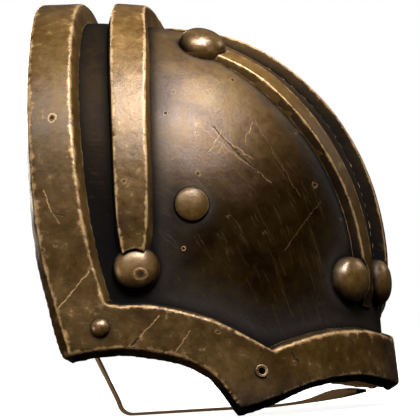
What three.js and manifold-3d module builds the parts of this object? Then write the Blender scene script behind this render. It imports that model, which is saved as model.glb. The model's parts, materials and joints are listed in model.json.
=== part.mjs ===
// A rigid shoulder guard: a domed plate with a raised rim, an arch band, three ribs and riveted studs.
// It is shaped as worn (X to the arm, Y to the back, Z up) and then turned onto the three places
// it stands on. Lengths are in millimetres, angles in degrees.
import * as THREE from 'three';
import { mergeVertices } from 'three/addons/utils/BufferGeometryUtils.js';
import { ParametricGeometry } from 'three/addons/geometries/ParametricGeometry.js';
import Module from 'manifold-3d';

const wasm = await Module();
wasm.setup();

// The domed plate
const domeReach = 183;
const domeHalfDepth = 108;
const domeHeight = 175;
const domeSquareness = 2.28;
const skirtFlare = 0.1;
const plateThickness = 2;
const seatGap = 0.35;
const footDepth = -1.2;

// The neck band and the rim, one raised channel of sheet
const bandHeight = 10.5;
const bandCrownRise = 2.4;
const bandWall = 2;
const neckBandWidth = 28;
const neckOverhang = 26.5;
const neckSweep = 41;
const neckOuterDraft = 6;
const neckInnerDraft = 4.6;
const backNeckReach = 13;
const hemDepth = 48;
const rimWidth = 28;
const pointDrop = 33;
const backHemRise = 38;
const hemDraft = 4;
const rimUpperDraft = 5;
const plateInset = 3;

// The band over the shoulder
const archBandWidth = 22;
const archBandStart = 20;
const archBandSweep = 20;
const archBandDraft = 3.6;

// The three ribs that run to the arm side
const ribWidth = 10;
const ribHeight = 6;
const ribDraft = 2;
const sideRibOffset = domeHalfDepth * 0.42;
const crestRibHeight = 7.4;
const crestRibOffset = 4;
const crestStudOffset = -8;

// Studs and rivets
const studRadius = 15.1;
const studHeight = 10.5;
const studCrown = 0.85;
const faceRivetRadius = 11;
const faceRivetHeight = 3.4;
const cornerRivetRadius = 6.2;
const cornerRivetHeight = 4.4;
const ringRivetRadius = 4.6;
const ringRivetHole = 1.7;
const ringRivetHeight = 1.3;

// The flat bar that closes the back of the arm opening
const barWidth = 8;
const barThickness = 1.8;
const barBend = 9;
const barLegLean = 0.49;

// How the guard leans when it stands on the point in front and on the bar behind
const standPitch = 7.3;
const standRoll = 2.6;

// How finely the curved stretches are divided
const wallSteps = 28;
const levelSteps = 14;
const neckSteps = 32;
const archSteps = 28;
const ribSteps = 20;
const rimStepTurn = 8;
const studSides = 20;
const rivetSides = 14;

const radians = THREE.MathUtils.degToRad;

// Points on the dome. Below its widest line the plate runs on as a flared skirt.

function power(value, exponent) {
  return Math.sign(value) * Math.abs(value) ** exponent;
}

function spread(z) {
  if (z < 0) return { share: 1, flare: -z * skirtFlare };
  const share = Math.max(0, 1 - (z / domeHeight) ** domeSquareness) ** (1 / domeSquareness);
  return { share, flare: 0 };
}

// turn: 0 at the arm side, -90 at the front of the neck line, 90 at its back; past 90 it runs on straight
function wallPoint(turn, z) {
  const { share, flare } = spread(z);
  const reach = domeReach * share + flare;
  const depth = domeHalfDepth * share + flare;
  const over = Math.max(0, Math.abs(turn) - 90);
  const angle = radians(Math.max(-90, Math.min(90, turn)));
  const x = over > 0 ? -over : reach * power(Math.cos(angle), 2 / domeSquareness);
  return new THREE.Vector3(x, depth * power(Math.sin(angle), 2 / domeSquareness), z);
}

// the turn at which the wall stands at a given x
function turnAt(x, z) {
  if (x <= 0) return 90 - x;
  const { share, flare } = spread(z);
  const part = Math.min(1, x / (domeReach * share + flare));
  return THREE.MathUtils.radToDeg(Math.acos(part ** (domeSquareness / 2)));
}

// along: 0 on the crest, 1 and -1 at the widest line, beyond that 100 mm of skirt for each 1
function archPoint(x, along) {
  const side = Math.sign(along) || 1;
  if (Math.abs(along) > 1) {
    const z = archHeight(along);
    return wallPoint(side * turnAt(x, z), z);
  }
  const share = (1 - (Math.max(0, x) / domeReach) ** domeSquareness) ** (1 / domeSquareness);
  const tilt = radians(along * 90);
  const y = domeHalfDepth * share * power(Math.sin(tilt), 2 / domeSquareness);
  return new THREE.Vector3(x, y, domeHeight * share * power(Math.cos(tilt), 2 / domeSquareness));
}

function archHeight(along) {
  if (Math.abs(along) > 1) return -100 * (Math.abs(along) - 1);
  return domeHeight * power(Math.cos(radians(along * 90)), 2 / domeSquareness);
}

// slope: 90 on top, 0 at the arm side
function ridgePoint(slope, y) {
  const angle = radians(slope);
  if (angle < 0) {
    const z = domeReach * Math.sin(angle);
    const { flare } = spread(z);
    const part = 1 - (Math.abs(y) / (domeHalfDepth + flare)) ** domeSquareness;
    return new THREE.Vector3((domeReach + flare) * part ** (1 / domeSquareness), y, z);
  }
  const part = 1 - (Math.abs(y) / domeHalfDepth) ** domeSquareness;
  const bulge = (Math.cos(angle) / domeReach) ** domeSquareness
    + (Math.sin(angle) / domeHeight) ** domeSquareness;
  const radius = (part / bulge) ** (1 / domeSquareness);
  return new THREE.Vector3(radius * Math.cos(angle), y, radius * Math.sin(angle));
}

function outward(point) {
  const { share, flare } = point.z < 0 ? spread(point.z) : { share: 1, flare: 0 };
  const reach = domeReach * share + flare;
  const depth = domeHalfDepth * share + flare;
  const x = Math.max(0, point.x);
  const steep = domeSquareness - 1;
  const lean = point.z < 0
    ? skirtFlare * (x ** domeSquareness / reach ** (domeSquareness + 1)
      + Math.abs(point.y) ** domeSquareness / depth ** (domeSquareness + 1))
    : point.z ** steep / domeHeight ** domeSquareness;
  return new THREE.Vector3(
    x ** steep / reach ** domeSquareness,
    power(point.y, steep) / depth ** domeSquareness,
    lean,
  ).normalize();
}

function raised(point, rise) {
  return point.clone().addScaledVector(outward(point), rise);
}

// Solids

function solidFrom(geometry) {
  geometry.deleteAttribute('normal');
  geometry.deleteAttribute('uv');
  const merged = mergeVertices(geometry, 1e-4);
  const places = merged.getAttribute('position').array;
  const corners = merged.getIndex().array;
  const kept = [];
  for (let i = 0; i < corners.length; i += 3) {
    const [a, b, c] = [corners[i], corners[i + 1], corners[i + 2]];
    if (a !== b && b !== c && c !== a) kept.push(a, b, c);
  }
  if (volumeOf(places, kept) < 0) kept.reverse();
  return new wasm.Manifold(new wasm.Mesh({
    numProp: 3,
    vertProperties: new Float32Array(places),
    triVerts: new Uint32Array(kept),
  }));
}

function volumeOf(places, corners) {
  const a = new THREE.Vector3();
  const b = new THREE.Vector3();
  const c = new THREE.Vector3();
  let sum = 0;
  for (let i = 0; i < corners.length; i += 3) {
    a.fromArray(places, corners[i] * 3);
    b.fromArray(places, corners[i + 1] * 3);
    c.fromArray(places, corners[i + 2] * 3);
    sum += a.dot(b.cross(c));
  }
  return sum;
}

function geometryFrom(solid) {
  const mesh = solid.getMesh();
  const geometry = new THREE.BufferGeometry();
  geometry.setAttribute('position', new THREE.Float32BufferAttribute(mesh.vertProperties, 3));
  geometry.setIndex(new THREE.Uint32BufferAttribute(mesh.triVerts, 1));
  geometry.computeVertexNormals();
  return geometry;
}

// a closed body through rings of points that all have the same number of corners
function loft(rings) {
  const count = rings[0].length;
  const middle = (ring) => ring
    .reduce((sum, point) => sum.add(point), new THREE.Vector3())
    .divideScalar(count);
  const first = middle(rings[0]);
  const last = middle(rings[rings.length - 1]);
  const rows = rings.length + 1;
  return solidFrom(new ParametricGeometry((u, v, target) => {
    const row = Math.round(v * rows);
    const corner = Math.round(u * count) % count;
    if (row === 0) target.copy(first);
    else if (row === rows) target.copy(last);
    else target.copy(rings[row - 1][corner]);
  }, count, rows));
}

function steps(from, to, count) {
  return Array.from({ length: count + 1 }, (_, i) => from + ((to - from) * i) / count);
}

// a smooth value from rows of [place, value]
function follow(rows) {
  const interpolant = new THREE.CubicInterpolant(
    rows.map((row) => row[0]),
    rows.map((row) => row[1]),
    1,
  );
  return (place) => interpolant.evaluate(place)[0];
}

function unite(solids) {
  return solids.reduce((sum, solid) => sum.add(solid));
}

// The neck band. Rows: height as a share of the dome's, and how far the edge has swept towards the arm.
const neckSweepShare = follow([
  [-0.4, 1.14], [-0.28, 0.97], [-0.2, 0.86], [-0.1, 0.73], [0.03, 0.56], [0.17, 0.43],
  [0.33, 0.34], [0.5, 0.26], [0.66, 0.19], [0.84, 0.11], [1, 0.01],
]);
const neckWidthShare = follow([[-0.4, 1.06], [0.03, 1.06], [0.4, 0.98], [0.75, 0.93], [1, 0.93]]);
const neckDraftShare = follow([[-0.4, 1.4], [-0.1, 1.35], [0.1, 1.1], [0.3, 0.9], [1, 0.8]]);

// side: -1 in front, 1 at the back, where the band reaches further towards the neck lower down
function neckLeft(z, side) {
  const further = side > 0 ? backNeckReach * (1 - Math.max(0, z) / domeHeight) : 0;
  return neckSweep * neckSweepShare(z / domeHeight) - neckOverhang - further;
}

function neckRight(z, side) {
  return neckLeft(z, side) + neckBandWidth * neckWidthShare(z / domeHeight);
}

function neckFoot(z, side) {
  return neckLeft(z, side) - neckOuterDraft * neckDraftShare(z / domeHeight);
}

// the bands stand higher over the shoulder
function bandRise(z) {
  return bandHeight + bandCrownRise * (Math.max(0, z) / domeHeight) ** 3;
}

function neckRing(along, shrink, floor) {
  const z = archHeight(along);
  const side = Math.sign(along);
  const top = bandRise(z) - shrink;
  return [
    raised(archPoint(neckFoot(z, side) + shrink, along), floor),
    raised(archPoint(neckLeft(z, side) + shrink, along), top),
    raised(archPoint(neckRight(z, side) - shrink, along), top),
    raised(archPoint(neckRight(z, side) + neckInnerDraft - shrink, along), floor),
  ];
}

// The rim. Rows for the front, from the neck corner to the arm side: x of the lower edge as a share
// of the reach, its drop below the hem as a share of the point's drop, x of the upper edge,
// and the width there as a share of the rim's width.
const frontRows = [
  [0.158, -0.09, 0.168, 1.0], [0.222, -0.12, 0.222, 0.92], [0.283, -0.09, 0.283, 0.98],
  [0.362, -0.01, 0.354, 1.01], [0.424, 0.09, 0.42, 1.01], [0.49, 0.3, 0.495, 1.11],
  [0.522, 0.53, 0.56, 1.16], [0.551, 0.77, 0.616, 1.21], [0.576, 1.0, 0.663, 1.29],
  [0.654, 0.83, 0.707, 1.25], [0.762, 0.48, 0.768, 1.02], [0.834, 0.32, 0.834, 1.0],
  [0.905, 0.23, 0.905, 1.0],
];
const armHem = 0.26;
const cornerWidth = 1.04;
const backCurve = 0.8;
const armRimHeight = 0.7;
const fullRimTurn = 60;
const rimEndLip = 0.1;

// one station of the rim: where its lower and upper edges stand
function rimStation(side, lowShare, lowDrop, highShare, widthShare) {
  const low = -hemDepth - lowDrop * pointDrop;
  const high = low + rimWidth * widthShare;
  const reach = domeReach + bandHeight;
  return {
    low,
    high,
    lowTurn: side * turnAt(lowShare * reach, low),
    highTurn: side * turnAt(highShare * reach, high),
  };
}

function cornerStation(side, low, reach) {
  const high = low + rimWidth * cornerWidth;
  return {
    low,
    high,
    lowTurn: side * turnAt(reach(low), low),
    highTurn: side * turnAt(reach(high), high),
  };
}

function backHem(share) {
  const rise = backHemRise * Math.max(0, 1 - share) ** backCurve;
  return -hemDepth - armHem * pointDrop + rise;
}

function rimStations(shrink) {
  const backCorner = backHem(0);
  const inset = (edge, side) => (z) => edge(z, side) + shrink;
  const front = frontRows.map((row) => rimStation(-1, ...row));
  const frontCorner = cornerStation(-1, -hemDepth, inset(neckLeft, -1));
  const arm = rimStation(1, 1, armHem, 1, 1);
  const back = steps(0.97, 0.12, 11).map((share) => {
    const low = backHem(share);
    return rimStation(1, share, (-hemDepth - low) / pointDrop, share, 1);
  });
  const backEnd = cornerStation(1, backCorner, inset(neckLeft, 1));
  return {
    frontFoot: cornerStation(-1, -hemDepth, inset(neckFoot, -1)),
    stations: [frontCorner, ...refined([...front, arm]), ...back, backEnd],
    backFoot: cornerStation(1, backCorner, inset(neckFoot, 1)),
  };
}

// more stations where two stand far apart, so that the rim bends with the wall
function refined(rows) {
  const out = [];
  rows.forEach((row, i) => {
    out.push(row);
    const next = rows[i + 1];
    if (!next) return;
    const parts = Math.max(1, Math.ceil(Math.abs(next.lowTurn - row.lowTurn) / rimStepTurn));
    for (let k = 1; k < parts; k += 1) {
      const mix = (name) => row[name] + ((next[name] - row[name]) * k) / parts;
      out.push({ low: mix('low'), high: mix('high'), lowTurn: mix('lowTurn'), highTurn: mix('highTurn') });
    }
  });
  return out;
}

// how much of the band's height the rim keeps, less towards the arm side
function rimRise(turn) {
  return THREE.MathUtils.lerp(armRimHeight, 1, Math.min(1, Math.abs(turn) / fullRimTurn));
}

function rimRing(station, shrink, floor, level) {
  const { low, high, lowTurn, highTurn } = station;
  const top = level ?? bandHeight * rimRise(lowTurn) - shrink;
  return [
    raised(wallPoint(lowTurn, low - hemDraft + shrink), floor),
    raised(wallPoint(lowTurn, low + shrink), top),
    raised(wallPoint(highTurn, high - shrink), top),
    raised(wallPoint(highTurn, high + rimUpperDraft - shrink), floor),
  ];
}

function rimBody(shrink, floor) {
  const { frontFoot, stations, backFoot } = rimStations(shrink);
  const rings = stations.map((station) => rimRing(station, shrink, floor));
  rings.unshift(rimRing(frontFoot, shrink, floor, floor + rimEndLip));
  rings.push(rimRing(backFoot, shrink, floor, floor + rimEndLip));
  return loft(rings);
}

const neckFrontEnd = -1.34;
const neckBackEnd = 1.02;

function neckBody(shrink, floor) {
  return loft(steps(neckFrontEnd, neckBackEnd, neckSteps).map((along) => neckRing(along, shrink, floor)));
}

function frameSolid(growth) {
  return unite([neckBody(-growth, footDepth), rimBody(-growth, footDepth)]);
}

function makeRimFrame() {
  const outer = frameSolid(0);
  const inner = unite([neckBody(bandWall, footDepth * 2), rimBody(bandWall, footDepth * 2)]);
  return outer.subtract(inner).subtract(seatSolid).subtract(ringRivetBore());
}

// The plate under it all, cut back under the neck band and the rim
const crownLevels = [84, 87, 89, 89.8];
const hollowDepth = hemDepth + pointDrop * 1.5;

function domeSolid(rise, bottom) {
  const levels = steps(0, crownLevels[0], levelSteps).concat(crownLevels.slice(1));
  const heights = [bottom, bottom * 0.5, ...levels.map((level) => (
    (domeHeight + rise) * power(Math.sin(radians(level)), 2 / domeSquareness)
  ))];
  const rings = heights.map((z) => {
    const scale = (domeHeight + rise) / domeHeight;
    const ring = steps(-90, 90, wallSteps).map((turn) => {
      const point = wallPoint(turn, z < 0 ? z : z / scale);
      const push = z < 0 ? 1 : spread(z / scale).share;
      const angle = radians(turn);
      const x = point.x + rise * push * power(Math.cos(angle), 2 / domeSquareness);
      const y = point.y + rise * push * power(Math.sin(angle), 2 / domeSquareness);
      return new THREE.Vector3(x, y, z);
    });
    const back = ring[ring.length - 1];
    const end = -neckOverhang * 2;
    return [new THREE.Vector3(end, ring[0].y, z), ...ring, new THREE.Vector3(end, back.y, z)];
  });
  return loft(rings);
}

function extrudeAcross(points, depth, from) {
  const shape = new THREE.Shape(points.map(([x, z]) => new THREE.Vector2(x, z)));
  const geometry = new THREE.ExtrudeGeometry(shape, { depth, bevelEnabled: false });
  geometry.rotateX(Math.PI / 2);
  geometry.translate(0, from + depth, 0);
  return solidFrom(geometry);
}

// the plate's outline seen from the front, for one side of the crest
function plateOutline(side) {
  const { stations } = rimStations(0);
  const own = stations.filter((station) => Math.sign(station.lowTurn) === side || station.lowTurn === 0);
  const hem = own.map((station) => {
    const edge = wallPoint(station.lowTurn, station.low);
    return [edge.x, station.low - hemDraft + plateInset];
  });
  if (side > 0) hem.reverse();
  const corner = hem[0][1];
  const neckEdge = (z) => neckFoot(Math.min(z, domeHeight), side) + plateInset;
  const neck = steps(domeHeight * 1.1, corner + 3, 24).map((z) => [neckEdge(z), z]);
  const armEdge = hem[hem.length - 1][1];
  const past = domeReach * 1.3;
  return [...neck, ...hem.slice(1), [past, armEdge], [past, domeHeight * 1.1]];
}

function makeShell() {
  const wall = domeSolid(0, -hollowDepth).subtract(domeSolid(-plateThickness, -hollowDepth * 1.2));
  const depth = domeHalfDepth * 1.4;
  const region = unite([
    extrudeAcross(plateOutline(-1), depth, -depth),
    extrudeAcross(plateOutline(1), depth, -1),
  ]);
  return wall.intersect(region);
}

// The arch band. Rows: height as a share of the dome's, then the sweep and the width there.
const archSweepShare = follow([
  [-0.1, 1.02], [0.1, 1.0], [0.25, 0.92], [0.41, 0.82], [0.56, 0.7], [0.71, 0.54], [0.9, 0.26], [1, 0.02],
]);
const archWidthShare = follow([
  [-0.1, 0.78], [0.1, 0.8], [0.36, 0.88], [0.56, 0.9], [0.71, 0.94], [0.9, 0.94], [1, 0.84],
]);

function archRing(along, shrink, floor) {
  const z = archHeight(along);
  const share = z / domeHeight;
  const left = archBandStart + archBandSweep * archSweepShare(share);
  const right = left + archBandWidth * archWidthShare(share);
  const top = bandRise(z) - shrink;
  return [
    raised(archPoint(left - archBandDraft + shrink, along), floor),
    raised(archPoint(left + shrink, along), top),
    raised(archPoint(right - shrink, along), top),
    raised(archPoint(right + archBandDraft - shrink, along), floor),
  ];
}

function archAlong(z) {
  return THREE.MathUtils.radToDeg(Math.acos((z / domeHeight) ** (domeSquareness / 2))) / 90;
}

function makeArchBand() {
  const body = (shrink, floor, past) => {
    const frontEnd = -archAlong(studPlaces.bandFront.z + past);
    const backEnd = archAlong(studPlaces.bandBack.z + past);
    return loft(steps(frontEnd, backEnd, archSteps).map((along) => archRing(along, shrink, floor)));
  };
  const endWall = studRadius + seatGap + bandWall;
  const channel = body(0, footDepth, 3).subtract(body(bandWall, footDepth * 2, endWall));
  const ends = unite([studClearance(studPlaces.bandFront), studClearance(studPlaces.bandBack)]);
  return channel.subtract(seatSolid).subtract(ends);
}

// The ribs. Rows: slope, and how far from the crest the rib runs as a share of its offset.
const ribOffsetShare = follow([[-12, 0.62], [0, 0.68], [14, 0.79], [32, 0.95], [50, 0.99], [75, 0.94]]);
const ribTaper = { low: 5, top: 18 };
const ribEndShare = 0.15;

function ribRing(slope, offset, height, ends) {
  const taper = Math.min((slope - ends[0]) / ribTaper.low, (ends[1] - slope) / ribTaper.top);
  const rise = seatGap + (height - seatGap) * Math.min(1, ribEndShare + taper);
  const half = ribWidth / 2;
  return [
    raised(ridgePoint(slope, offset - half - ribDraft), footDepth),
    raised(ridgePoint(slope, offset - half), rise),
    raised(ridgePoint(slope, offset + half), rise),
    raised(ridgePoint(slope, offset + half + ribDraft), footDepth),
  ];
}

function makeRib(ends, offsetAt, height, studs) {
  const body = loft(steps(...ends, ribSteps).map((slope) => ribRing(slope, offsetAt(slope), height, ends)));
  return studs.reduce((rib, stud) => rib.subtract(studClearance(stud)), body.subtract(seatSolid));
}

// Studs and rivets stand square on the surface under them, their skirts cut to its curve.
const studSkirt = 3;
const rivetSkirt = 2;

function standing(profile, point, lift, sides = studSides) {
  const lathe = new THREE.LatheGeometry(profile.map(([r, h]) => new THREE.Vector2(r, h)), sides);
  const turn = new THREE.Quaternion().setFromUnitVectors(new THREE.Vector3(0, 1, 0), outward(point));
  lathe.applyQuaternion(turn);
  const base = raised(point, lift);
  lathe.translate(base.x, base.y, base.z);
  return solidFrom(lathe);
}

// a low dome whose side drops below its seat, so that the seat can be cut to the curve
function domedProfile(radius, height, skirt, crown) {
  const arc = steps(0, 90, 5).map((angle) => [
    radius * Math.sin(radians(angle)) ** crown,
    height * Math.cos(radians(angle)) ** crown,
  ]);
  arc[0][0] = 0;
  return [[0, -skirt], [radius, -skirt], ...arc.reverse()];
}

function studClearance(point) {
  const radius = studRadius + seatGap;
  const reach = studHeight * 2;
  return standing([[0, -reach], [radius, -reach], [radius, reach], [0, reach]], point, 0);
}

function makeStud(point) {
  return standing(domedProfile(studRadius, studHeight, studSkirt, studCrown), point, 0).subtract(seatSolid);
}

function makeFaceRivet(point) {
  return standing(domedProfile(faceRivetRadius, faceRivetHeight, rivetSkirt, 0.8), point, 0).subtract(seatSolid);
}

function makeCornerRivet(point) {
  const profile = domedProfile(cornerRivetRadius, cornerRivetHeight, rivetSkirt, 0.95);
  return standing(profile, point, bandHeight, rivetSides).subtract(frameSeat);
}

function ringProfile(inner, outer, height) {
  const lip = height * 0.4;
  return [
    [inner, -rivetSkirt], [outer, -rivetSkirt], [outer, height - lip], [outer - lip, height],
    [inner + lip, height], [inner, height - lip], [inner, -rivetSkirt],
  ];
}

function ringRivetLift() {
  return bandHeight * rimRise(ringTurn);
}

function makeRingRivet() {
  const profile = ringProfile(ringRivetHole, ringRivetRadius, ringRivetHeight);
  return standing(profile, ringPlace, ringRivetLift(), rivetSides).subtract(frameSeat);
}

function ringRivetBore() {
  const reach = bandHeight * 2;
  return standing([[0, 0], [ringRivetHole, 0], [ringRivetHole, reach], [0, reach]], ringPlace, seatGap + 1);
}

// Where the studs and rivets stand
function onWall(x, z, side) {
  return wallPoint(side * turnAt(x, z), z);
}

const studLevel = domeHeight * 0.036;
const bandStudX = archBandStart + archBandSweep * archSweepShare(0) + archBandWidth * 0.45;
const ribStudSlope = 62.3;
const ribStudOffset = 0.93;
const ribStudX = domeReach * 0.938;
const studPlaces = {
  bandFront: onWall(bandStudX, studLevel, -1),
  bandBack: onWall(bandStudX, studLevel + hemDepth + backHem(bandStudX / domeReach), 1),
  ribTopFront: ridgePoint(ribStudSlope, -sideRibOffset * ribStudOffset),
  ribTopBack: ridgePoint(ribStudSlope, sideRibOffset * ribStudOffset),
  ribLowFront: onWall(ribStudX, studLevel * 0.7, -1),
  ribLowBack: onWall(ribStudX, studLevel * 0.7, 1),
  crestLow: ridgePoint(2.2, crestStudOffset),
};
const faceRivetX = domeReach * 0.453;
const faceRivetZ = domeHeight * 0.264;
const cornerRivetZ = -hemDepth + rimWidth * 0.58;
const ringTurn = -turnAt(domeReach * 0.665, -hemDepth);
const ringPlace = wallPoint(ringTurn, -hemDepth - pointDrop * 0.29);

const frameSeat = frameSolid(seatGap);
const seatSolid = domeSolid(seatGap, -hollowDepth);

// The plane it stands on touches the point of the rim in front; the bar behind lies along it.
const standNormal = new THREE.Vector3(0, 0, 1)
  .applyAxisAngle(new THREE.Vector3(1, 0, 0), radians(standPitch))
  .applyAxisAngle(new THREE.Vector3(0, 1, 0), radians(-standRoll));
const rimFrame = makeRimFrame();
const standOffset = lowestAlong(rimFrame, standNormal);

function lowestAlong(solid, direction) {
  const places = solid.getMesh().vertProperties;
  let lowest = Infinity;
  for (let i = 0; i < places.length; i += 3) {
    lowest = Math.min(lowest, new THREE.Vector3().fromArray(places, i).dot(direction));
  }
  return lowest;
}

function standHeight(x, y) {
  return (standOffset - standNormal.x * x - standNormal.y * y) / standNormal.z;
}

// a point on the back wall, so far above the plane it stands on
function aboveStand(x, lift) {
  let z = -hemDepth;
  for (let i = 0; i < 5; i += 1) {
    const { y } = onWall(x, z, 1);
    z = standHeight(x, y) + lift;
  }
  return onWall(x, z, 1);
}

// The flat bar: a leg down from the neck corner, a bend, a run along the plane it stands on,
// and a rise to the rim's foot, where it is thickest. Rows: x as a share of the reach, the rise of
// its underside as a share of the whole rise, and how many times thicker it is.
const barRunEnd = 0.56;
const barRunLead = 6;
const barRiseRows = [[0.64, 0.16, 1], [0.7, 0.28, 1.4], [0.76, 0.44, 3.2], [0.82, 0.66, 3.4], [0.88, 1, 1]];

function barPath() {
  const half = barThickness / 2;
  const legTop = backHem(0) - hemDraft - seatGap;
  const legX = (z) => neckFoot(legTop, 1) + (legTop - z) * barLegLean;
  const foot = standHeight(0, domeHalfDepth) + half;
  const bendTop = foot + barBend;
  const points = steps(legTop, bendTop, 4).map((z) => onWall(legX(z), z, 1));
  steps(20, 90, 5).forEach((angle) => {
    const swing = radians(angle);
    const x = legX(bendTop) + barBend * (1 - Math.cos(swing));
    points.push(aboveStand(x, half + barBend * (1 - Math.sin(swing))));
  });
  const runStart = legX(bendTop) + barBend + barRunLead;
  steps(runStart, domeReach * barRunEnd, 8).forEach((x) => points.push(aboveStand(x, half)));
  const last = domeReach * barRiseRows[barRiseRows.length - 1][0];
  const rimFoot = backHem(last / (domeReach + bandHeight)) - hemDraft - seatGap - half;
  const rise = rimFoot - aboveStand(last, half).z;
  barRiseRows.forEach(([share, part, thicker]) => {
    points.push(aboveStand(domeReach * share, half * thicker + rise * part));
  });
  return points;
}

function makeBackBar() {
  const path = barPath();
  const firstRise = path.length - barRiseRows.length;
  const rings = path.map((point, i) => {
    const thicker = i < firstRise ? 1 : barRiseRows[i - firstRise][2];
    const before = path[Math.max(0, i - 1)];
    const after = path[Math.min(path.length - 1, i + 1)];
    const run = after.clone().sub(before).normalize();
    const across = outward(point);
    across.addScaledVector(standNormal, -across.dot(standNormal)).normalize();
    const up = run.clone().cross(across).normalize();
    const corner = (sideways, upwards) => point.clone()
      .addScaledVector(across, sideways * barWidth)
      .addScaledVector(up, (upwards * thicker * barThickness) / 2);
    return [corner(0, -1), corner(1, -1), corner(1, 1), corner(0, 1)];
  });
  return loft(rings);
}

// Finishes
function finish(colour, roughness) {
  return new THREE.MeshStandardMaterial({ color: colour, roughness, metalness: 1 });
}

const agedBrass = finish(0x8a6a3c, 0.45);
const wornBand = finish(0xa98458, 0.42);
const polishedStud = finish(0xb08a58, 0.35);
const darkBar = finish(0x5a4020, 0.5);

const guard = new THREE.Group();

function place(name, solid, material) {
  const mesh = new THREE.Mesh(geometryFrom(solid), material.clone());
  mesh.name = name;
  guard.add(mesh);
}

const sideRibEnds = [-3.5, ribStudSlope + 3];
const crestRibEnds = [0.5, 74];
const sideOffset = (side) => (slope) => side * sideRibOffset * ribOffsetShare(slope);

place('shell', makeShell(), agedBrass);
place('rim_frame', rimFrame, wornBand);
place('arch_band', makeArchBand(), wornBand);
place('front_rib', makeRib(sideRibEnds, sideOffset(-1), ribHeight,
  [studPlaces.ribTopFront, studPlaces.ribLowFront, studPlaces.crestLow]), wornBand);
place('back_rib', makeRib(sideRibEnds, sideOffset(1), ribHeight,
  [studPlaces.ribTopBack, studPlaces.ribLowBack]), wornBand);
place('crest_rib', makeRib(crestRibEnds, () => crestRibOffset, crestRibHeight,
  [studPlaces.crestLow]), wornBand);
place('band_stud_front', makeStud(studPlaces.bandFront), polishedStud);
place('band_stud_back', makeStud(studPlaces.bandBack), polishedStud);
place('rib_top_stud_front', makeStud(studPlaces.ribTopFront), polishedStud);
place('rib_top_stud_back', makeStud(studPlaces.ribTopBack), polishedStud);
place('rib_low_stud_front', makeStud(studPlaces.ribLowFront), polishedStud);
place('rib_low_stud_back', makeStud(studPlaces.ribLowBack), polishedStud);
place('crest_stud', makeStud(studPlaces.crestLow), polishedStud);
place('face_rivet_front', makeFaceRivet(onWall(faceRivetX, faceRivetZ, -1)), agedBrass);
place('face_rivet_back', makeFaceRivet(onWall(faceRivetX, faceRivetZ, 1)), agedBrass);
place('corner_rivet_front', makeCornerRivet(onWall(domeReach * 0.168, cornerRivetZ, -1)), polishedStud);
place('corner_rivet_back', makeCornerRivet(
  onWall(domeReach * 0.045, cornerRivetZ + hemDepth + backHem(0), 1)), polishedStud);
place('ring_rivet', makeRingRivet(), polishedStud);
place('back_bar', makeBackBar(), darkBar);

// Turned onto the plane it stands on, with the middle of its box over the origin
guard.quaternion.setFromUnitVectors(standNormal, new THREE.Vector3(0, 0, 1));
guard.updateMatrixWorld(true);
const box = new THREE.Box3().setFromObject(guard, true);
guard.position.set(-(box.min.x + box.max.x) / 2, -(box.min.y + box.max.y) / 2, -box.min.z);

export default guard;
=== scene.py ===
# Worn bronze shoulder guard standing on a pale floor
import bpy
import json
from math import pi, radians, sin, cos
from mathutils import Matrix, Vector
from mathutils.bvhtree import BVHTree


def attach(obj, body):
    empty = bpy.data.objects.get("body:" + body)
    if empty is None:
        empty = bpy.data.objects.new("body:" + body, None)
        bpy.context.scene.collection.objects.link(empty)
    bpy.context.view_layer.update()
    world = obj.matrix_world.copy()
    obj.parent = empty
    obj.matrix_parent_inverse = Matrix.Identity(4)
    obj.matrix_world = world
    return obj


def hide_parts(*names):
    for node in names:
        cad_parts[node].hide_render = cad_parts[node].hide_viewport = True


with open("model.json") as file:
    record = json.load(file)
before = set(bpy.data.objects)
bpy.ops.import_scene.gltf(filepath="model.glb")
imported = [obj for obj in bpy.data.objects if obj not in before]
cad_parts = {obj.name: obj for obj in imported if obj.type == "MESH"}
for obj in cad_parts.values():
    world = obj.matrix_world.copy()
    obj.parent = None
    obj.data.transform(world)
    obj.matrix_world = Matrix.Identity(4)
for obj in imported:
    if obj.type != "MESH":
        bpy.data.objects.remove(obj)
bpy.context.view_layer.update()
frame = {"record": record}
print("frame loaded")


def clearSelection():
    if bpy.context.object and bpy.context.object.mode != "OBJECT":
        bpy.ops.object.mode_set(mode="OBJECT")
    bpy.ops.object.select_all(action="DESELECT")


def pick(piece):
    clearSelection()
    piece.select_set(True)
    bpy.context.view_layer.objects.active = piece


def applyAll(piece):
    pick(piece)
    for modifier in list(piece.modifiers):
        bpy.ops.object.modifier_apply(modifier=modifier.name)


# Nodes of a material, each made in one line
def addNode(tree, kind, **values):
    node = tree.nodes.new(kind)
    for name, value in values.items():
        if name in node.inputs:
            node.inputs[name].default_value = value
        else:
            setattr(node, name, value)
    return node


def link(tree, source, target):
    tree.links.new(source, target)


def feed(tree, sockets, values):
    for socket, value in zip(sockets, values):
        if isinstance(value, (int, float, tuple)):
            socket.default_value = value
        else:
            link(tree, value, socket)


def noise(tree, place, scale, detail, rough, twist=0.0):
    node = tree.nodes.new("ShaderNodeTexNoise")
    sockets = [node.inputs[name] for name in ("Vector", "Scale", "Detail", "Roughness", "Distortion")]
    feed(tree, sockets, (place, scale, detail, rough, twist))
    return node.outputs["Fac"]


def ramp(tree, source, stops):
    node = tree.nodes.new("ShaderNodeValToRGB")
    while len(node.color_ramp.elements) < len(stops):
        node.color_ramp.elements.new(0.5)
    for element, (place, shade) in zip(node.color_ramp.elements, stops):
        element.position = place
        element.color = (*shade, 1) if isinstance(shade, tuple) else (shade, shade, shade, 1)
    link(tree, source, node.inputs["Fac"])
    return node.outputs["Color"]


def smoothStep(tree, source, start, stop, first, last):
    node = addNode(tree, "ShaderNodeMapRange", interpolation_type="SMOOTHSTEP")
    sockets = [node.inputs[name] for name in ("Value", "From Min", "From Max", "To Min", "To Max")]
    feed(tree, sockets, (source, start, stop, first, last))
    return node.outputs["Result"]


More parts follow.
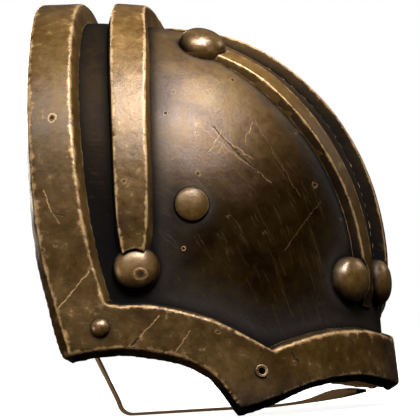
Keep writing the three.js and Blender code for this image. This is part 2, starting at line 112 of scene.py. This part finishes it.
def blendColour(tree, amount, first, second, mode="MIX"):
    node = addNode(tree, "ShaderNodeMix", data_type="RGBA", blend_type=mode)
    colours = [(*shade, 1) if isinstance(shade, tuple) else shade for shade in (first, second)]
    feed(tree, (node.inputs[0], node.inputs[6], node.inputs[7]), (amount, *colours))
    return node.outputs[2]


def maths(tree, operation, *values, clamp=False):
    node = addNode(tree, "ShaderNodeMath", operation=operation, use_clamp=clamp)
    feed(tree, node.inputs, values)
    return node.outputs[0]


def vectorMaths(tree, operation, *values):
    node = addNode(tree, "ShaderNodeVectorMath", operation=operation)
    feed(tree, node.inputs, values)
    return node.outputs["Value" if operation in ("DOT_PRODUCT", "DISTANCE") else "Vector"]


def highest(tree, first, *others):
    for other in others:
        first = maths(tree, "MAXIMUM", first, other)
    return first


def splitPlace(tree, place):
    parts = addNode(tree, "ShaderNodeSeparateXYZ")
    link(tree, place, parts.inputs[0])
    return parts.outputs["X"], parts.outputs["Y"], parts.outputs["Z"]


def joinPlace(tree, *parts):
    node = addNode(tree, "ShaderNodeCombineXYZ")
    feed(tree, node.inputs, parts)
    return node.outputs[0]


# Marks of use on the front, each a stroke between two places given as x and z
strokes = {
    "plate": [
        {"start": (0.001, 0.182), "end": (0.047, 0.141), "width": 0.0005, "bright": 0.18},
        {"start": (0.003, 0.184), "end": (0.036, 0.156), "width": 0.0004, "bright": 0.29},
        {"start": (0.011, 0.162), "end": (0.0185, 0.175), "width": 0.0004, "bright": 0.25},
        {"start": (0.016, 0.161), "end": (0.021, 0.171), "width": 0.0003, "bright": 0.25},
        {"start": (0.012, 0.183), "end": (0.022, 0.156), "width": 0.0003, "bright": 0.14},
        {"start": (0.031, 0.167), "end": (0.036, 0.179), "width": 0.0004, "bright": 0.21},
        {"start": (0.037, 0.180), "end": (0.063, 0.131), "width": 0.0003, "bright": 0.11},
        {"start": (0.053, 0.099), "end": (0.074, 0.128), "width": 0.0003, "bright": 0.11},
        {"start": (0.013, 0.177), "end": (0.046, 0.140), "width": 0.00035, "bright": 0.0},
    ],
    "band": [
        {"start": (-0.060, 0.094), "end": (-0.080, 0.073), "width": 0.0006, "bright": 0.55},
        {"start": (-0.019, 0.065), "end": (-0.031, 0.052), "width": 0.0005, "bright": 0.44},
        {"start": (-0.031, 0.052), "end": (-0.036, 0.047), "width": 0.0011, "bright": 0.0},
        {"start": (-0.001, 0.055), "end": (-0.010, 0.042), "width": 0.0004, "bright": 0.33},
        {"start": (-0.087, 0.145), "end": (-0.082, 0.130), "width": 0.0005, "bright": 0.44},
        {"start": (-0.082, 0.130), "end": (-0.077, 0.124), "width": 0.0004, "bright": 0.33},
        {"start": (-0.086, 0.131), "end": (-0.074, 0.128), "width": 0.0004, "bright": 0.0},
        {"start": (-0.098, 0.146), "end": (-0.090, 0.120), "width": 0.0004, "bright": 0.28},
        {"start": (0.056, 0.037), "end": (0.061, 0.031), "width": 0.0008, "bright": 0.0},
    ],
}
# Ring-shaped dents, each with its middle as x and z; the one on the stud is a painted ring highlight round
# a painted dark middle
ringDents = {
    "plate": [{"place": (-0.015, 0.1875), "radius": 0.0014}, {"place": (-0.0055, 0.104), "radius": 0.0012}],
    "band": [{"place": (-0.082, 0.189), "radius": 0.0024}],
    "stud": [{"place": (-0.0295, 0.0905), "radius": 0.0036}],
}
ringShape = {"sharpness": 2.6, "lip": 0.7, "bowl": 0.5, "dark": 0.8}


def strokeMask(tree, flat, wobble, stroke):
    start = Vector(stroke["start"])
    run = Vector(stroke["end"]) - start
    length = run.length
    run.normalize()
    along = vectorMaths(tree, "DOT_PRODUCT", flat, (run.x, run.y, 0))
    across = vectorMaths(tree, "DOT_PRODUCT", flat, (-run.y, run.x, 0))
    middle = start.dot(run) + length / 2
    inside = maths(tree, "COMPARE", along, middle, length / 2)
    level = start.x * -run.y + start.y * run.x
    strayed = maths(tree, "ADD", maths(tree, "SUBTRACT", across, level), wobble)
    off = maths(tree, "ABSOLUTE", strayed)
    near = maths(tree, "MULTIPLY_ADD", off, -1 / stroke["width"], 1.0, clamp=True)
    return maths(tree, "MULTIPLY", near, inside)


def ringMask(tree, flat, wobble, ring):
    gap = vectorMaths(tree, "DISTANCE", flat, (*ring["place"], 0))
    ragged = maths(tree, "ADD", gap, wobble)
    edge = maths(tree, "ABSOLUTE", maths(tree, "SUBTRACT", ragged, ring["radius"]))
    sharpness = ringShape["sharpness"] / ring["radius"]
    lip = maths(tree, "MULTIPLY_ADD", edge, -sharpness, ringShape["lip"], clamp=True)
    bowl = maths(tree, "LESS_THAN", gap, ring["radius"] * ringShape["bowl"])
    return lip, maths(tree, "MULTIPLY", bowl, ringShape["dark"])


def markMasks(tree, place, wobble, name):
    x, y, z = splitPlace(tree, place)
    flat = joinPlace(tree, x, z)
    front = maths(tree, "LESS_THAN", y, 0.0)
    bright = maths(tree, "MULTIPLY", front, 0.0)
    dark = bright
    for stroke in strokes.get(name, []):
        mask = strokeMask(tree, flat, wobble, stroke)
        if stroke["bright"] > 0:
            bright = highest(tree, bright, maths(tree, "MULTIPLY", mask, stroke["bright"]))
        else:
            dark = highest(tree, dark, mask)
    for ring in ringDents.get(name, []):
        lip, bowl = ringMask(tree, flat, wobble, ring)
        bright = highest(tree, bright, lip)
        dark = highest(tree, dark, bowl)
    return maths(tree, "MULTIPLY", bright, front), maths(tree, "MULTIPLY", dark, front)


# Long fine scratches in two directions, each from a noise that is stretched along it
scratches = {
    "turns": ((0.3, 0.5, 0.8), (0.9, 1.9, 0.2)),
    "stretch": (10.0, 260.0, 10.0),
    "grain": {"scale": 3.0, "detail": 2.0, "rough": 0.5},
    "line": (0.645, 0.665, 0.69),
    "bright": 0.07,
}


def streaks(tree, place, turn):
    stretch = addNode(tree, "ShaderNodeMapping", vector_type="POINT")
    feed(tree, [stretch.inputs[name] for name in ("Vector", "Rotation", "Scale")],
         (place, turn, scratches["stretch"]))
    lines = noise(tree, stretch.outputs[0], **scratches["grain"])
    start, middle, stop = scratches["line"]
    return ramp(tree, lines, [(start, 0.0), (middle, scratches["bright"]), (stop, 0.0)])


# Small ragged pits: a cell here and there has one
pitting = {
    "cells": 95.0,
    "ragged": 0.009,
    "rarity": 0.74,
    "bowl": (0.04, 0.12),
    "lip": (0.10, 0.15, 0.24),
    "bright": 0.18,
}


def pitMasks(tree, place, mottle):
    shifted = vectorMaths(tree, "ADD", place, maths(tree, "MULTIPLY", mottle, pitting["ragged"]))
    cells = addNode(tree, "ShaderNodeTexVoronoi", Scale=pitting["cells"])
    link(tree, shifted, cells.inputs["Vector"])
    chance = maths(tree, "GREATER_THAN", cells.outputs["Color"], pitting["rarity"])
    full, none = pitting["bowl"]
    start, middle, stop = pitting["lip"]
    bowl = ramp(tree, cells.outputs["Distance"], [(full, 1.0), (none, 0.0)])
    lip = ramp(tree, cells.outputs["Distance"], [(start, 0.0), (middle, pitting["bright"]), (stop, 0.0)])
    return maths(tree, "MULTIPLY", bowl, chance), maths(tree, "MULTIPLY", lip, chance)


# Aged bronze: brown patina in blotches, tan where it is rubbed, with painted shade in the corners and away
# from the painted light on the dome's crown
bronzeShades = {
    "shadeAndPitColour": (0.008, 0.0078, 0.0076),
    "wallShade": (0.125, 0.120, 0.115),
    "brown": (0.088, 0.034, 0.004),
    "olive": (0.185, 0.092, 0.016),
    "tan": (0.38, 0.205, 0.058),
    "rubbedAndHighlight": (0.85, 0.52, 0.24),
    "spot": (0.22, 0.075, 0.018),
}
# metal: how metallic; light: share of tan; fade: width of the step up to tan
# dark: how dark the painted shade leaves the dome away from its lit crown; wallShade: how much pale painted
# shade lies beside walls
# trough: how dark the painted shade leaves the dip between the two raised bands
# rub: brightness of worn edges; chip: how ragged they are; rough: mean roughness; gloss: shine
finishes = {
    "plate": {
        "metal": 0.2, "light": 0.27, "fade": 0.26, "dark": 0.09, "wallShade": 0.30, "trough": 0.36,
        "rub": 0.8, "chip": 0.03, "rough": 0.36, "gloss": 0.8,
    },
    "band": {
        "metal": 0.2, "light": 0.62, "fade": 0.16, "dark": 0.34, "wallShade": 0.1, "trough": 1.0,
        "rub": 1.0, "chip": 0.10, "rough": 0.32, "gloss": 1.1,
    },
    # rib and crest are a lit and a shaded copy of one rib finish: painted light on the front and back ribs,
    # painted shade on the crest rib
    "rib": {
        "metal": 0.3, "light": 0.80, "fade": 0.16, "dark": 0.22, "wallShade": 0.0, "trough": 1.0,
        "rub": 1.0, "chip": 0.09, "rough": 0.34, "gloss": 0.8,
    },
    "crest": {
        "metal": 0.2, "light": 0.20, "fade": 0.16, "dark": 0.20, "wallShade": 0.0, "trough": 1.0,
        "rub": 1.0, "chip": 0.09, "rough": 0.40, "gloss": 0.4,
    },
    "stud": {
        "metal": 0.45, "light": 0.60, "fade": 0.16, "dark": 0.80, "wallShade": 0.0, "trough": 1.0,
        "rub": 0.6, "chip": 0.05, "rough": 0.29, "gloss": 2.8,
    },
    "flat": {
        "metal": 0.2, "light": 0.60, "fade": 0.16, "dark": 0.45, "wallShade": 0.0, "trough": 1.0,
        "rub": 0.8, "chip": 0.05, "rough": 0.30, "gloss": 1.4,
    },
    "bar": {
        "metal": 0.2, "light": 0.05, "fade": 0.16, "dark": 1.00, "wallShade": 0.0, "trough": 1.0,
        "rub": 0.6, "chip": 0.05, "rough": 0.45, "gloss": 0.6,
    },
}
# Painted light: lighter near the crown of the dome, painted shade away from it and between the bands
paintedLightCrown = {"place": (-0.012, -0.05, 0.220), "near": 0.032, "far": 0.112, "ragged": 0.10}
trough = {"near": -0.052, "far": -0.010}
# Inside the hollow the painted shade stops at this share of full light, and only this share of the painted
# corner shade is kept
hollowShade = {"middle": (0.0, 0.0, 0.05), "share": 0.6, "shadeAndPits": 0.3}
grain = {
    "blotches": {"scale": 34.0, "detail": 7.0, "rough": 0.62, "twist": 0.2},
    "mottle": {"scale": 150.0, "detail": 6.0, "rough": 0.7},
    "specks": {"scale": 430.0, "detail": 3.0, "rough": 0.6},
}
# How the grain is mixed, where on the mix olive is, how far below it brown is, and which specks are spots
patinaSteps = {
    "blotches": 0.68,
    "mottle": 0.32,
    "olive": 0.60,
    "lighter": 0.2,
    "brown": 0.12,
    "spots": (0.66, 0.74),
    "spotShare": 0.7,
}
# Painted shade in corners, by how open they are: the reach in metres, then where the pale wall shade and
# the dark corner shade start and stop
corners = {"reach": 0.03, "wallShade": (0.74, 0.86, 0.97), "shadeAndPits": (0.64, 0.94)}
# stray: how far a stroke strays; broken: how much of it the mottle leaves
# edge: how sharp an edge is that starts to wear, and one that is bare; pits: how dark they are; shadeShare:
# how much the painted shade dims worn edges
wearing = {"stray": 0.005, "broken": 2.0, "edge": (0.512, 0.536), "shadeShare": 0.7, "pits": 0.8}
# bend: index of refraction; patinaAndShade: how fast the painted shade dulls the shine
# spread: how far the mottle moves the roughness; shadeAndPits: roughness that the painted corner shade,
# dark marks and pits add
shine = {"bend": 1.62, "specular": 0.5, "patinaAndShade": 1.2, "spread": 0.36, "shadeAndPits": 0.35}
relief = {"mottle": 0.6, "specks": 0.25, "marks": 0.6, "strength": 0.45, "height": 0.0007}


# Painted light and shade by distance from the lit crown; front and back are alike, so the depth is taken
# without its sign
def crownShade(tree, place, blotches, least):
    x, y, z = splitPlace(tree, place)
    folded = joinPlace(tree, x, maths(tree, "MULTIPLY", maths(tree, "ABSOLUTE", y), -1.0), z)
    away = vectorMaths(tree, "DISTANCE", folded, paintedLightCrown["place"])
    blotch = maths(tree, "SUBTRACT", blotches, 0.5)
    ragged = maths(tree, "MULTIPLY_ADD", blotch, paintedLightCrown["ragged"], away)
    return smoothStep(tree, ragged, paintedLightCrown["near"], paintedLightCrown["far"], 1.0, least)


# Painted shade in the dip between the two raised bands
def troughShade(tree, place, least):
    return smoothStep(tree, splitPlace(tree, place)[0], trough["near"], trough["far"], least, 1.0)


# 1 on the inside of the hollow, where the surface faces its middle
def insideMask(tree, place):
    outwards = vectorMaths(tree, "SUBTRACT", place, hollowShade["middle"])
    normal = addNode(tree, "ShaderNodeNewGeometry").outputs["Normal"]
    return maths(tree, "LESS_THAN", vectorMaths(tree, "DOT_PRODUCT", outwards, normal), 0.0)


# Painted light: 1 where lit, less where painted shade lies, and never below a share inside the hollow
def paintedLightShare(tree, place, blotches, inside, values):
    outside = maths(tree, "MULTIPLY", crownShade(tree, place, blotches, values["dark"]),
                    troughShade(tree, place, values["trough"]))
    return highest(tree, outside, maths(tree, "MULTIPLY", inside, hollowShade["share"]))


def patinaAndShadeColour(tree, blotches, mottle, specks, paintedLight, values):
    mixed = maths(tree, "MULTIPLY_ADD", blotches, patinaSteps["blotches"],
                  maths(tree, "MULTIPLY", mottle, patinaSteps["mottle"]))
    olive = patinaSteps["olive"] - values["light"] * patinaSteps["lighter"]
    patinaAndShade = ramp(tree, mixed, [
        (olive - patinaSteps["brown"], bronzeShades["brown"]),
        (olive, bronzeShades["olive"]),
        (olive + values["fade"], bronzeShades["tan"]),
    ])
    start, stop = patinaSteps["spots"]
    spots = ramp(tree, specks, [(start, 0.0), (stop, patinaSteps["spotShare"])])
    patinaAndShade = blendColour(tree, spots, patinaAndShade, bronzeShades["spot"])
    # The patina is multiplied by the painted light and shade
    return blendColour(tree, 1.0, patinaAndShade, paintedLight, "MULTIPLY")


# Pale grey painted shade beside walls, left out between the two raised bands
def cornerWallShade(tree, place, corner, amount):
    start, middle, stop = corners["wallShade"]
    wallShade = ramp(tree, corner, [(start, 0.0), (middle, amount), (stop, 0.0)])
    return maths(tree, "MULTIPLY", wallShade, troughShade(tree, place, 0.0))


# Painted shade, dark in corners and recesses and less inside the hollow, together with the dark marks and
# pits
def cornerShadeAndPits(tree, corner, inside, dark, bowls):
    full, none = corners["shadeAndPits"]
    shadeAndPits = ramp(tree, corner, [(full, 1.0), (none, 0.0)])
    kept = maths(tree, "MULTIPLY_ADD", inside, hollowShade["shadeAndPits"] - 1.0, 1.0)
    pits = maths(tree, "MULTIPLY", bowls, wearing["pits"])
    return highest(tree, maths(tree, "MULTIPLY", shadeAndPits, kept), dark, pits)


def wornEdges(tree, mottle, paintedLight, values):
    edges = addNode(tree, "ShaderNodeNewGeometry").outputs["Pointiness"]
    chips = maths(tree, "MULTIPLY_ADD", maths(tree, "SUBTRACT", mottle, 0.5), values["chip"], edges)
    start, full = wearing["edge"]
    worn = ramp(tree, chips, [(start, 0.0), (full, values["rub"])])
    # Worn edges are dimmed where painted shade lies
    share = wearing["shadeShare"]
    return maths(tree, "MULTIPLY", worn, maths(tree, "MULTIPLY_ADD", paintedLight, share, 1.0 - share, clamp=True))


def surfaceNormal(tree, mottle, specks, marks):
    fine = maths(tree, "MULTIPLY", specks, relief["specks"])
    sunk = maths(tree, "MULTIPLY", marks, relief["marks"])
    height = maths(tree, "SUBTRACT", maths(tree, "MULTIPLY_ADD", mottle, relief["mottle"], fine), sunk)
    bump = addNode(tree, "ShaderNodeBump", Strength=relief["strength"], Distance=relief["height"])
    link(tree, height, bump.inputs["Height"])
    return bump.outputs["Normal"]


def makeBronze(name, values):
    material = bpy.data.materials.new(name + "Bronze")
    material.use_nodes = True
    tree = material.node_tree
    tree.nodes.clear()
    place = addNode(tree, "ShaderNodeTexCoord").outputs["Object"]
    blotches, mottle, specks = (noise(tree, place, **pattern) for pattern in grain.values())
    inside = insideMask(tree, place)
    paintedLight = paintedLightShare(tree, place, blotches, inside, values)
    patinaAndShade = patinaAndShadeColour(tree, blotches, mottle, specks, paintedLight, values)
    corner = addNode(tree, "ShaderNodeAmbientOcclusion", samples=8, Distance=corners["reach"]).outputs["AO"]
    # Painted shade: a pale grey band beside walls
    wallShade = cornerWallShade(tree, place, corner, values["wallShade"])
    patinaAndShade = blendColour(tree, wallShade, patinaAndShade, bronzeShades["wallShade"])

    # Marks of use and worn edges show the bare metal; the ring on the stud is a painted highlight
    wobble = maths(tree, "MULTIPLY", maths(tree, "SUBTRACT", mottle, 0.5), wearing["stray"])
    bright, dark = markMasks(tree, place, wobble, name)
    bright = maths(tree, "MULTIPLY", bright, maths(tree, "MULTIPLY", mottle, wearing["broken"], clamp=True))
    bowls, lips = pitMasks(tree, place, mottle)
    lines = highest(tree, *(streaks(tree, place, turn) for turn in scratches["turns"]))
    scuffs = maths(tree, "MULTIPLY", lines, blotches)
    rubbedAndHighlight = highest(tree, wornEdges(tree, mottle, paintedLight, values), bright, scuffs, lips)
    patinaAndShade = blendColour(tree, rubbedAndHighlight, patinaAndShade, bronzeShades["rubbedAndHighlight"])
    # Painted shade in corners, with the dark marks and pits
    shadeAndPits = cornerShadeAndPits(tree, corner, inside, dark, bowls)
    patinaAndShade = blendColour(tree, shadeAndPits, patinaAndShade, bronzeShades["shadeAndPitColour"])

    shader = addNode(tree, "ShaderNodeBsdfPrincipled", Metallic=values["metal"], IOR=shine["bend"])
    link(tree, patinaAndShade, shader.inputs["Base Color"])
    # The shine is dimmed where painted shade lies, and by the corner shade, dark marks and pits
    litShine = maths(tree, "POWER", paintedLight, shine["patinaAndShade"])
    shineLeft = maths(tree, "MULTIPLY", maths(tree, "SUBTRACT", 1.0, shadeAndPits), litShine)
    specular = maths(tree, "MULTIPLY", shineLeft, shine["specular"] * values["gloss"])
    link(tree, specular, shader.inputs["Specular IOR Level"])
    dull = maths(tree, "MULTIPLY_ADD", mottle, shine["spread"], values["rough"] - shine["spread"] / 2)
    dull = maths(tree, "MULTIPLY_ADD", shadeAndPits, shine["shadeAndPits"], dull, clamp=True)
    link(tree, dull, shader.inputs["Roughness"])
    normal = surfaceNormal(tree, mottle, specks, highest(tree, bright, dark, bowls))
    link(tree, normal, shader.inputs["Normal"])
    output = addNode(tree, "ShaderNodeOutputMaterial")
    link(tree, shader.outputs["BSDF"], output.inputs["Surface"])
    return material


materials = {name: makeBronze(name, values) for name, values in finishes.items()}
print("materials made")


# Each CAD solid is copied, smoothed along its bends, remeshed fine and given small dents
refining = {
    "shell": {"bends": 2, "voxel": 0.0, "soften": 0, "dent": 0.0008},
    "rim_frame": {"bends": 2, "voxel": 0.0013, "soften": 5, "dent": 0.0007},
    "arch_band": {"bends": 2, "voxel": 0.0010, "soften": 5, "dent": 0.0006},
    "front_rib": {"bends": 2, "voxel": 0.0008, "soften": 3, "dent": 0.0004},
    "back_rib": {"bends": 2, "voxel": 0.0008, "soften": 3, "dent": 0.0004},
    "crest_rib": {"bends": 2, "voxel": 0.0008, "soften": 3, "dent": 0.0004},
    "back_bar": {"bends": 1, "voxel": 0.0, "soften": 0, "dent": 0.0},
    "stud": {"bends": 2, "voxel": 0.0008, "soften": 3, "dent": 0.0003},
    "rivet": {"bends": 2, "voxel": 0.0005, "soften": 2, "dent": 0.0001},
}
# join: distance at which doubles merge; flat, square: limits for making quads; sharp: bends that stay edges
meshing = {
    "join": 0.00002,
    "flat": radians(15),
    "square": radians(60),
    "sharp": radians(24),
    "smooth": radians(40),
    "softening": 0.5,
}


def creaseSharpEdges(piece):
    pick(piece)
    bpy.ops.object.mode_set(mode="EDIT")
    bpy.ops.mesh.select_all(action="SELECT")
    bpy.ops.mesh.remove_doubles(threshold=meshing["join"])
    bpy.ops.mesh.tris_convert_to_quads(face_threshold=meshing["flat"], shape_threshold=meshing["square"])
    bpy.ops.mesh.select_all(action="DESELECT")
    bpy.ops.mesh.select_mode(type="EDGE")
    bpy.ops.mesh.edges_select_sharp(sharpness=meshing["sharp"])
    bpy.ops.object.mode_set(mode="OBJECT")
    creases = piece.data.attributes.new("crease_edge", "FLOAT", "EDGE")
    for edge, crease in zip(piece.data.edges, creases.data):
        crease.value = 1.0 if edge.select else 0.0


denting = {"size": 0.022, "depth": 2, "middle": 0.5}
wideDents = bpy.data.textures.new("wideDents", "CLOUDS")
wideDents.noise_scale = denting["size"]
wideDents.noise_depth = denting["depth"]


# The feet of a raised piece go a little into what carries it, as soldered ones do
seating = {"reach": 0.0009, "sink": 0.0014}


def surfaceOf(node):
    mesh = bpy.data.objects[node].data
    places = [vertex.co.copy() for vertex in mesh.vertices]
    return BVHTree.FromPolygons(places, [tuple(face.vertices) for face in mesh.polygons])


surfaces = {"shell": surfaceOf("shell"), "rim_frame": surfaceOf("rim_frame")}


def sinkFeet(piece, carrier):
    for vertex in piece.data.vertices:
        place, normal, _, gap = surfaces[carrier].find_nearest(vertex.co)
        if gap < seating["reach"]:
            vertex.co = place - normal * seating["sink"]


# The ends of the arch band go in under the domes of its two studs
tucking = {"reach": 0.0158, "tuck": 0.0045}
studNodes = [entry["node"] for entry in frame["record"]["subparts"] if "stud" in entry["node"]]


def studAxis(node):
    vertices = bpy.data.objects[node].data.vertices
    middle = sum((vertex.co for vertex in vertices), Vector()) / len(vertices)
    return surfaces["shell"].find_nearest(middle)[:2]


def tuckEnds(piece):
    for node in studNodes:
        place, axis = studAxis(node)
        for vertex in piece.data.vertices:
            off = vertex.co - place
            out = off - axis * off.dot(axis)
            if out.length < tucking["reach"] and abs(off.dot(axis)) < tucking["reach"]:
                vertex.co -= out.normalized() * tucking["tuck"]


def refine(node, kind, look):
    values = refining[kind]
    source = bpy.data.objects[node]
    piece = bpy.data.objects.new(node + "_worn", source.data.copy())
    bpy.context.scene.collection.objects.link(piece)
    creaseSharpEdges(piece)
    if node != "shell" and node != "back_bar":
        sinkFeet(piece, "rim_frame" if kind == "rivet" and "face" not in node else "shell")
    if kind == "arch_band":
        tuckEnds(piece)
    bends = piece.modifiers.new("bends", "SUBSURF")
    bends.levels = values["bends"]
    bends.render_levels = values["bends"]
    if values["voxel"]:
        even = piece.modifiers.new("even", "REMESH")
        even.mode = "VOXEL"
        even.voxel_size = values["voxel"]
    if values["soften"]:
        soft = piece.modifiers.new("soft", "SMOOTH")
        soft.factor = meshing["softening"]
        soft.iterations = values["soften"]
    if values["dent"]:
        dents = piece.modifiers.new("dents", "DISPLACE")
        dents.texture = wideDents
        dents.texture_coords = "LOCAL"
        dents.strength = values["dent"]
        dents.mid_level = denting["middle"]
    applyAll(piece)
    pick(piece)
    bpy.ops.object.shade_smooth_by_angle(angle=meshing["smooth"])
    piece.data.materials.clear()
    piece.data.materials.append(materials[look])
    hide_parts(node)
    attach(piece, "root")


# The looks that differ from those of the piece's material slot
looks = {
    "front_rib": "rib",
    "back_rib": "rib",
    "crest_rib": "crest",
    "ring_rivet": "band",
    "face_rivet_front": "flat",
    "face_rivet_back": "flat",
}
for entry in frame["record"]["subparts"]:
    node = entry["node"]
    slot = entry["material_slot"]
    kind = "stud" if "stud" in node else "rivet" if "rivet" in node else node
    refine(node, kind, looks.get(node, slot))
    print("refined", node)


# Floor, with a glow of its own that keeps it pale behind the guard
floorValues = {"size": 8.0, "colour": (0.85, 0.85, 0.85), "rough": 0.9, "glow": 0.86}
clearSelection()
bpy.ops.mesh.primitive_plane_add(size=floorValues["size"], location=(0, 0, 0))
floor = bpy.context.object
floor.name = "floor"
paint = bpy.data.materials.new("paleFloor")
paint.use_nodes = True
paleShader = paint.node_tree.nodes["Principled BSDF"]
paleShader.inputs["Base Color"].default_value = (*floorValues["colour"], 1)
paleShader.inputs["Roughness"].default_value = floorValues["rough"]
paleShader.inputs["Emission Color"].default_value = (1, 1, 1, 1)
paleShader.inputs["Emission Strength"].default_value = floorValues["glow"]
floor.data.materials.append(paint)
floor.visible_glossy = False
floor.visible_diffuse = False


# Camera at the photograph's angle, a little above the floor
cameraView = {
    "target": (-0.0043, 0.0101, 0.1280),
    "azimuth": 9.21,
    "elevation": -1.01,
    "roll": -3.75,
    "distance": 3.0,
    "frameWidth": 0.2631,
    "sensor": 36.0,
    "reach": 50.0,
}
azimuth = radians(cameraView["azimuth"])
elevation = radians(cameraView["elevation"])
back = Vector((sin(azimuth) * cos(elevation), -cos(azimuth) * cos(elevation), sin(elevation)))
lens = bpy.data.cameras.new("camera")
lens.sensor_width = cameraView["sensor"]
lens.lens = cameraView["sensor"] * cameraView["distance"] / cameraView["frameWidth"]
lens.clip_end = cameraView["reach"]
camera = bpy.data.objects.new("camera", lens)
bpy.context.scene.collection.objects.link(camera)
turn = (Matrix.Rotation(azimuth, 3, "Z") @ Matrix.Rotation(pi / 2 - elevation, 3, "X")
        @ Matrix.Rotation(radians(cameraView["roll"]), 3, "Z"))
camera.location = Vector(cameraView["target"]) + back * cameraView["distance"]
camera.rotation_euler = turn.to_euler()
bpy.context.scene.camera = camera


# Light: a big soft box high in front, small ones over the neck and the dome, two dim ones low, two behind
lamps = {
    "key": {"place": (0.36, -0.86, 1.38), "size": 0.6, "power": 24.0, "colour": (1.0, 0.99, 0.99)},
    "brow": {"place": (-0.34, -0.90, 1.30), "size": 0.6, "power": 8.0, "colour": (0.86, 0.93, 1.0)},
    "top": {"place": (0.52, -0.30, 1.60), "size": 0.35, "power": 10.0, "colour": (0.86, 0.93, 1.0)},
    "fill": {"place": (-0.6, -2.0, 0.9), "size": 0.9, "power": 1.8, "colour": (1.0, 0.9, 0.78)},
    "low": {"place": (-1.5, -0.8, 0.20), "size": 0.5, "power": 4.5, "colour": (1.0, 0.86, 0.7)},
    "behind": {"place": (1.1, 0.75, 0.85), "size": 0.5, "power": 2.0, "colour": (1.0, 0.9, 0.78)},
    "back": {"place": (-0.9, 1.6, 0.42), "size": 0.8, "power": 22.0, "colour": (1.0, 0.95, 0.88)},
}
lampAim = Vector((0, 0, 0.13))
for name, values in lamps.items():
    clearSelection()
    bpy.ops.object.light_add(type="AREA", location=values["place"])
    lamp = bpy.context.object
    lamp.name = name
    lamp.data.size = values["size"]
    lamp.data.energy = values["power"]
    lamp.data.color = values["colour"]
    aim = lampAim - Vector(values["place"])
    lamp.rotation_euler = aim.to_track_quat("-Z", "Y").to_euler()


# What the metal mirrors is dark, but for the lamps, while the camera sees white
surround = {
    "low": (0.01, 0.01, 0.012),
    "level": (0.03, 0.03, 0.034),
    "high": (0.16, 0.16, 0.165),
    "steps": (0.42, 0.55, 0.85),
    "seen": (1.0, 1.0, 1.0),
}
world = bpy.data.worlds.new("studio")
bpy.context.scene.world = world
world.use_nodes = True
sky = world.node_tree
sky.nodes.clear()
direction = addNode(sky, "ShaderNodeTexCoord").outputs["Generated"]
height = maths(sky, "MULTIPLY_ADD", splitPlace(sky, direction)[2], 0.5, 0.5)
names = ("low", "level", "high")
shades = ramp(sky, height, [(step, surround[name]) for step, name in zip(surround["steps"], names)])
seen = addNode(sky, "ShaderNodeLightPath").outputs["Is Camera Ray"]
background = addNode(sky, "ShaderNodeBackground")
link(sky, blendColour(sky, seen, shades, surround["seen"]), background.inputs["Color"])
link(sky, background.outputs[0], addNode(sky, "ShaderNodeOutputWorld").inputs["Surface"])
bpy.context.scene.view_settings.view_transform = "Standard"
print("stage set")
